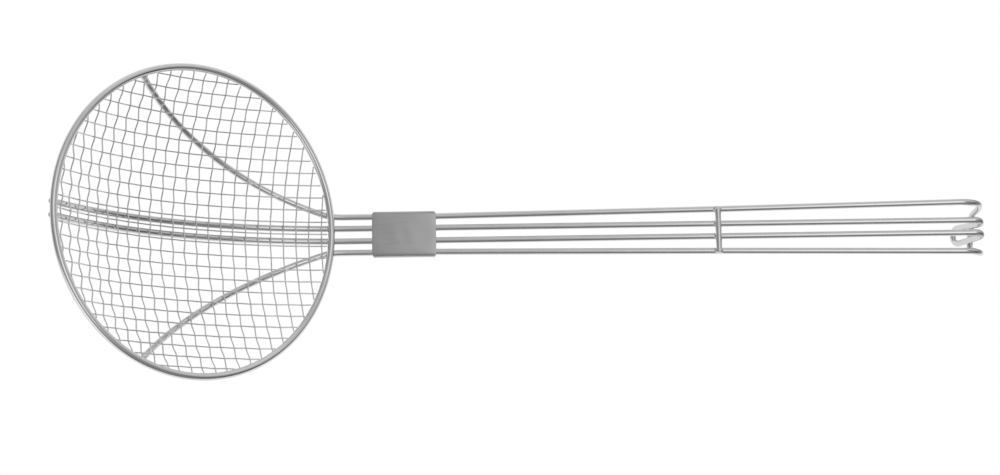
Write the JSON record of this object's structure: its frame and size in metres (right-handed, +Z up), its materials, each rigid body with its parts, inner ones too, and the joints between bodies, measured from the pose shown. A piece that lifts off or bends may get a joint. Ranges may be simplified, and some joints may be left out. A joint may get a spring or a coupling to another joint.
{
  "type": "spider skimmer",
  "caption": "Kitchen skimmer with a shallow woven wire bowl in a thick round rim and a long handle of parallel wires that ends in a bent hook with a hanging eye.",
  "frame": {"origin": "middle of the bounding box seen from above, at its lowest level, which is the table that the skimmer lies on", "axes": "+X runs along the length towards the hook, +Z is up from the table, the mirror plane is XZ"},
  "size_m": [0.464, 0.1538, 0.0848],
  "materials": {
    "rim_steel": "polished round stainless steel wire",
    "frame_steel": "drawn stainless steel wire, satin and slightly streaked along its length",
    "sleeve_steel": "satin stainless steel tube, pressed flat",
    "mesh_steel": "bright thin stainless steel wire"
  },
  "bodies": {
    "root": {"rim_ring": "rim_steel", "inner_wire_left": "frame_steel", "inner_wire_right": "frame_steel", "eye_bend": "frame_steel", "outer_wire_left": "frame_steel", "outer_wire_right": "frame_steel", "crosspiece_bend": "frame_steel", "grip_sleeve": "sleeve_steel", "cross_wire": "frame_steel", "mesh_long_01": "mesh_steel", "mesh_long_02": "mesh_steel", "mesh_long_03": "mesh_steel", "mesh_long_04": "mesh_steel", "mesh_long_05": "mesh_steel", "mesh_long_06": "mesh_steel", "mesh_long_07": "mesh_steel", "mesh_long_08": "mesh_steel", "mesh_long_09": "mesh_steel", "mesh_long_10": "mesh_steel", "mesh_long_11": "mesh_steel", "mesh_long_12": "mesh_steel", "mesh_long_13": "mesh_steel", "mesh_long_14": "mesh_steel", "mesh_long_15": "mesh_steel", "mesh_long_16": "mesh_steel", "mesh_long_17": "mesh_steel", "mesh_long_18": "mesh_steel", "mesh_long_19": "mesh_steel", "mesh_long_20": "mesh_steel", "mesh_long_21": "mesh_steel", "mesh_long_22": "mesh_steel", "mesh_long_23": "mesh_steel", "mesh_long_24": "mesh_steel", "mesh_long_25": "mesh_steel", "mesh_cross_01": "mesh_steel", "mesh_cross_02": "mesh_steel", "mesh_cross_03": "mesh_steel", "mesh_cross_04": "mesh_steel", "mesh_cross_05": "mesh_steel", "mesh_cross_06": "mesh_steel", "mesh_cross_07": "mesh_steel", "mesh_cross_08": "mesh_steel", "mesh_cross_09": "mesh_steel", "mesh_cross_10": "mesh_steel", "mesh_cross_11": "mesh_steel", "mesh_cross_12": "mesh_steel", "mesh_cross_13": "mesh_steel", "mesh_cross_14": "mesh_steel", "mesh_cross_15": "mesh_steel", "mesh_cross_16": "mesh_steel", "mesh_cross_17": "mesh_steel", "mesh_cross_18": "mesh_steel", "mesh_cross_19": "mesh_steel", "mesh_cross_20": "mesh_steel", "mesh_cross_21": "mesh_steel", "mesh_cross_22": "mesh_steel", "mesh_cross_23": "mesh_steel", "mesh_cross_24": "mesh_steel"}
  },
  "joints": []
}
